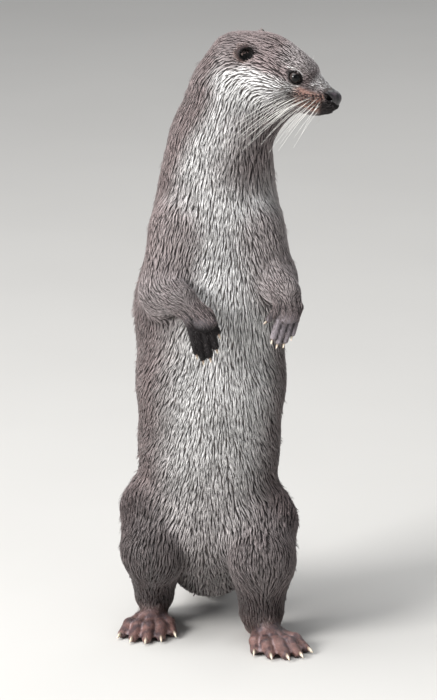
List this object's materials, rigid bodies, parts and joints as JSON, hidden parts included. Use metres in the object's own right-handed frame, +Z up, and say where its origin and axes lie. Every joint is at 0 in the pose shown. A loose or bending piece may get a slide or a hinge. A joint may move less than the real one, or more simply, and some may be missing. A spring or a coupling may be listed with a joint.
{
  "type": "eurasian otter",
  "caption": "Life-size still model of a Eurasian otter standing upright on its hind feet, its tail along the floor and its head turned to its left.",
  "frame": {"origin": "on the floor, under the middle of the bounding box", "axes": "+Z up along the standing body, -Y the way the belly and the hind feet face, +X the otter's own left, where its nose points"},
  "size_m": [0.2228, 0.542, 0.6186],
  "materials": {
    "fur": "wet otter coat, brown above and pale grey below",
    "skin": "thinly haired skin of the feet and webs",
    "nose": "moist black nose pad",
    "eye": "wet dark eye",
    "claw": "pale horn"
  },
  "bodies": {
    "root": {"eye_right": "eye", "ear_right": "fur", "eye_left": "eye", "ear_left": "fur", "nose": "nose", "fore_claw_first_left": "claw", "fore_claw_second_left": "claw", "fore_claw_third_left": "claw", "fore_claw_fourth_left": "claw", "fore_claw_fifth_left": "claw", "hind_claw_first_left": "claw", "hind_claw_second_left": "claw", "hind_claw_third_left": "claw", "hind_claw_fourth_left": "claw", "hind_claw_fifth_left": "claw", "fore_claw_first_right": "claw", "fore_claw_second_right": "claw", "fore_claw_third_right": "claw", "fore_claw_fourth_right": "claw", "fore_claw_fifth_right": "claw", "hind_claw_first_right": "claw", "hind_claw_second_right": "claw", "hind_claw_third_right": "claw", "hind_claw_fourth_right": "claw", "hind_claw_fifth_right": "claw", "head": "fur", "lower_jaw": "fur", "neck": "fur", "chest": "fur", "abdomen": "fur", "rump": "fur", "tail_root": "fur", "tail_middle": "fur", "tail_tip": "fur", "upper_arm_left": "fur", "forearm_left": "fur", "forepaw_left": "skin", "thigh_left": "fur", "shank_left": "fur", "hind_foot_left": "skin", "upper_arm_right": "fur", "forearm_right": "fur", "forepaw_right": "skin", "thigh_right": "fur", "shank_right": "fur", "hind_foot_right": "skin"}
  },
  "joints": []
}
